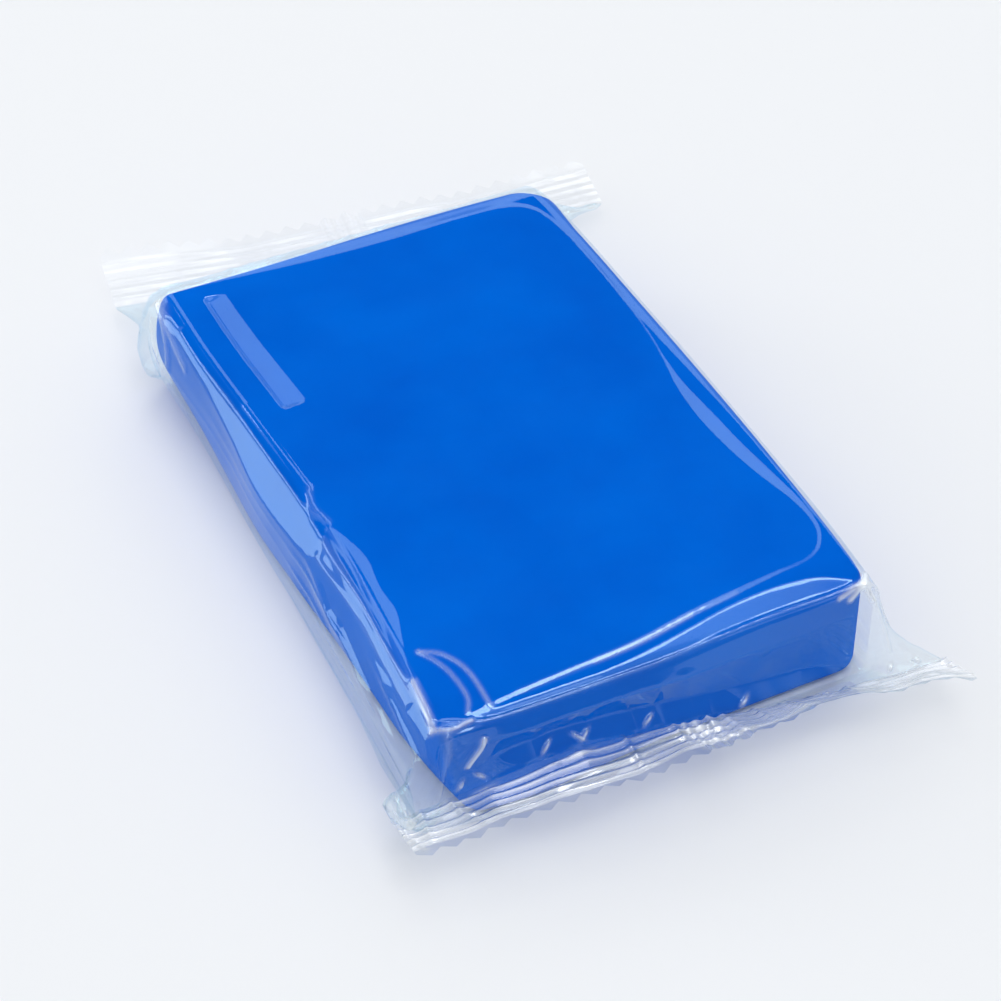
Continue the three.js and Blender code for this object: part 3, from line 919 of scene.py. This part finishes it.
# ------------------------------------------------------------------ the end seals
def build_seal(end):
    """A ribbed seal with a zigzag cut edge: rows go outwards from its root, columns along it.
    Gives the points, and how white the pressed ribs are: frosted film, partly painted highlight strands."""
    middle = SEAL_MIDDLE[end]
    side = -1 if end == "near" else 1
    seed = SEAL_SEED[end]
    teeth = int(GIRTH_HALF / TOOTH_PITCH)
    along = np.linspace(-GIRTH_HALF / 2, GIRTH_HALF / 2, teeth * 14 + 1)
    phase = (along / TOOTH_PITCH + 0.5) % 1.0
    tooth = TOOTH_DEPTH * (1 - np.abs(2 * phase - 1))
    plain = SEAL_LENGTH - TOOTH_DEPTH - 0.1
    rows = np.concatenate([np.linspace(0, plain, 84), plain + np.linspace(0, 1, 6)[1:]])
    u, v = np.meshgrid(along + middle, rows)
    tip = np.maximum(v - plain, 0)
    v = np.minimum(v, plain) + tip * (0.1 + tooth)[None, :]
    root_rise = curve_through(ROOT_RISE[end], u)
    tip_rise = curve_through(TIP_RISE[end], u)
    turn = math.tan(math.radians(SEAL_TURN[end]))
    angle = np.radians(root_rise + (tip_rise - root_rise) * smooth((v - 2.5) / 4.5))
    step = np.diff(v, axis=0, prepend=0)
    out = np.cumsum(step * np.cos(angle), 0)
    up = np.cumsum(step * np.sin(angle), 0)
    share = v / SEAL_LENGTH

    wander = RIB_WANDER[end] * rough(u, v, *RIB_WANDER_SCALE[end], seed)
    rib = (v - 0.5) / RIB_PITCH + wander
    crest = 1 - np.abs(2 * (rib % 1.0) - 1)
    inside = smooth(rib / 0.3) * smooth((RIB_COUNT - rib) / 0.3)
    size = RIB_HEIGHT[end] * (0.65 + 0.5 * rough(u, v, 6, 3, seed + 1))
    ribs = size * crest * inside
    hatch = smooth((u - SEAM_LEFT) / 0.4) * smooth((SEAM_RIGHT - 2.4 - u) / 0.4)
    stripes = hatch * (0.5 + 0.5 * np.sin(2 * np.pi * u / HATCH_PITCH)) * smooth(v / 0.8)
    cross = HATCH_HEIGHT * stripes
    bow = SEAL_BOW[end] * rough(u, v, 5.5, 16, seed + 2) * share
    pucker = SEAL_PUCKER[end] * creased(u, v, 3.2, 12, seed + 3) * smooth(1.2 - share)
    off = bow + ribs + cross + pucker
    root_y, root_z = seal_root(along + middle, end)
    out_y = side * (out - off * np.sin(angle))
    points = np.stack([u - turn * out * side, root_y + out_y, root_z + up + off * np.cos(angle)], 2)
    points[..., 2] = np.clip(points[..., 2], FLOOR_GAP, 14.0)
    # rib crests and cross ribs turn white: frosted pressed film, partly painted highlight strands
    rib_white_and_painted_highlights = crest**2 * inside * (0.6 + 0.6 * rough(u, v, 4, 2, seed + 4))
    pressed_white_and_painted_glints = np.clip(rib_white_and_painted_highlights + 0.45 * stripes, 0, 1)
    return points, pressed_white_and_painted_glints


def build_back_seam():
    """The folded seam under the bar: a flat strip with the weld's fine cross ribs."""
    y = np.linspace(-BAR_END, BAR_END, 200)
    x = np.linspace(SEAM_LEFT, SEAM_RIGHT, 28)
    u, v = np.meshgrid(x, y)
    ribs = SEAM_RIB_HEIGHT * (1 + np.sin(2 * np.pi * v / SEAM_RIB_PITCH))
    z = 0.02 + ribs * smooth((u - SEAM_LEFT) / 1.0)
    return np.stack([u, v, z], 2)


# ------------------------------------------------------------------ assemble the pack
clay = clay_mesh()
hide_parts("clay_bar")
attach(clay, "pack")

wrap, wrap_white_and_painted_glints, first, last = build_wrap()
wrap_normals = grid_normals(wrap, True)

over = slice(first, last + 1)
sleeve = grid_object("film_wrap", wrap[over], wrap_normals[over], True, FILM, wrap_white_and_painted_glints[over])
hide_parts("film_sleeve")
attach(sleeve, "pack")

nearer = slice(0, first + 1)
near_pocket = grid_object(
    "film_near_end", wrap[nearer], wrap_normals[nearer], True, FILM, wrap_white_and_painted_glints[nearer]
)
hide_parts("near_pocket_film")
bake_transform(near_pocket)

farther = slice(last, None)
far_pocket = grid_object(
    "film_far_end", wrap[farther], wrap_normals[farther], True, FILM, wrap_white_and_painted_glints[farther]
)
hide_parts("far_pocket_film")
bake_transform(far_pocket)

near_points, near_seal_white_and_painted_glints = build_seal("near")
near_seal = grid_object("seal_near", near_points, None, False, NEAR_SEAL, near_seal_white_and_painted_glints)
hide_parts("near_end_crimp")
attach(near_seal, "near_seal")

far_points, far_seal_white_and_painted_glints = build_seal("far")
far_seal = grid_object("seal_far", far_points, None, False, FAR_SEAL, far_seal_white_and_painted_glints)
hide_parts("far_end_crimp")
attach(far_seal, "far_seal")

seam_points = build_back_seam()
back_seam = grid_object("back_seam", seam_points, None, False, FAR_SEAL)
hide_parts("back_seam_fin")
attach(back_seam, "pack")

# ------------------------------------------------------------------ floor, light and camera
bpy.ops.mesh.primitive_plane_add(size=3.0, location=(0, 0, 0))
floor = bpy.context.object
floor.name = "floor"
floor.data.materials.append(floor_material())


def softbox(name, place, aim, size, radiance, colour=(1, 1, 1)):
    """A rectangular area light of this brightness, aimed at a point."""
    light = bpy.data.lights.new(name, "AREA")
    light.shape = "RECTANGLE"
    light.size, light.size_y = size
    light.energy = radiance * math.pi * size[0] * size[1]
    light.color = colour
    obj = bpy.data.objects.new(name, light)
    obj.location = place
    obj.rotation_euler = (Vector(aim) - Vector(place)).to_track_quat("-Z", "Y").to_euler()
    scene.collection.objects.link(obj)
    return obj


def toward(azimuth, elevation, distance):
    """A place seen from the bar at this azimuth, in degrees from +Y towards +X, and elevation."""
    a, e = math.radians(azimuth), math.radians(elevation)
    level = distance * math.cos(e)
    return (level * math.sin(a), level * math.cos(a), distance * math.sin(e))


BAR_MIDDLE = (0, 0, 0.01)
softbox("key", toward(37, 60, 0.95), BAR_MIDDLE, (0.26, 0.12), 6.0)
softbox("overhead", (0.02, -0.20, 1.1), BAR_MIDDLE, (0.80, 0.70), 1.5, (1.0, 0.993, 0.98))
softbox("front_top", toward(150, 66, 0.95), BAR_MIDDLE, (0.24, 0.10), 5.0)
softbox("left_rear", toward(-36, 32, 0.95), BAR_MIDDLE, (0.30, 0.10), 3.5)
softbox("left_window", toward(-44, 12, 0.95), BAR_MIDDLE, (0.36, 0.36), 3.0)

# The room is an even white dome. A bright ring surrounds the dark patch that the flat top of the film
# mirrors. Two more dark patches lie beside it and low down on the camera's side.
# Each is (azimuth, elevation, inner radius, outer radius) in degrees. The ring's last value is its
# brightness, and a dark patch's is the share of the light that is left inside it.
DOME = 0.71
RING = (25.3, 43.2, 21, 27, 1.75)
DARK_PATCHES = [(25.3, 43.2, 9, 13, 0.0), (-18, 44, 7, 12, 0.0), (160, 22, 18, 30, 0.28)]
world = bpy.data.worlds.new("studio")
scene.world = world
world.use_nodes = True
dome = world.node_tree
background = dome.nodes["Background"]
background.inputs["Color"].default_value = (0.955, 0.978, 1.0, 1)
direction = dome.nodes.new("ShaderNodeTexCoord")


def dome_patch(azimuth, elevation, inner, outer, inside, outside):
    """A round patch of the dome: one value inside its inner radius, another beyond its outer one."""
    alignment = dome.nodes.new("ShaderNodeVectorMath")
    alignment.operation = "DOT_PRODUCT"
    alignment.inputs[1].default_value = toward(azimuth, elevation, 1.0)
    strength = dome.nodes.new("ShaderNodeMapRange")
    strength.interpolation_type = "SMOOTHSTEP"
    strength.inputs["From Min"].default_value = math.cos(math.radians(outer))
    strength.inputs["From Max"].default_value = math.cos(math.radians(inner))
    strength.inputs["To Min"].default_value = outside
    strength.inputs["To Max"].default_value = inside
    link(dome, direction, "Generated", alignment, 0)
    link(dome, alignment, "Value", strength, "Value")
    return strength.outputs["Result"]


brightness = dome_patch(*RING, outside=DOME)
for patch in DARK_PATCHES:
    lower = dome.nodes.new("ShaderNodeMath")
    lower.operation = "MULTIPLY"
    dome.links.new(brightness, lower.inputs[0])
    dome.links.new(dome_patch(*patch, outside=1.0), lower.inputs[1])
    brightness = lower.outputs["Value"]
dome.links.new(brightness, background.inputs["Strength"])

CAMERA_TARGET = Vector((0.00174, 0.00246, 0.0))
CAMERA_AZIMUTH = math.radians(-25.35)
CAMERA_ELEVATION = math.radians(43.15)
CAMERA_DISTANCE = 0.3521
CAMERA_LENS = 107.9
back = Vector(
    (
        math.sin(CAMERA_AZIMUTH) * math.cos(CAMERA_ELEVATION),
        -math.cos(CAMERA_AZIMUTH) * math.cos(CAMERA_ELEVATION),
        math.sin(CAMERA_ELEVATION),
    )
)
camera_data = bpy.data.cameras.new("camera")
camera_data.lens = CAMERA_LENS
camera_data.sensor_width = 36.0
camera = bpy.data.objects.new("camera", camera_data)
camera.location = CAMERA_TARGET + back * CAMERA_DISTANCE
camera.rotation_euler = back.to_track_quat("Z", "Y").to_euler()
scene.collection.objects.link(camera)
scene.camera = camera

scene.view_settings.view_transform = "Standard"
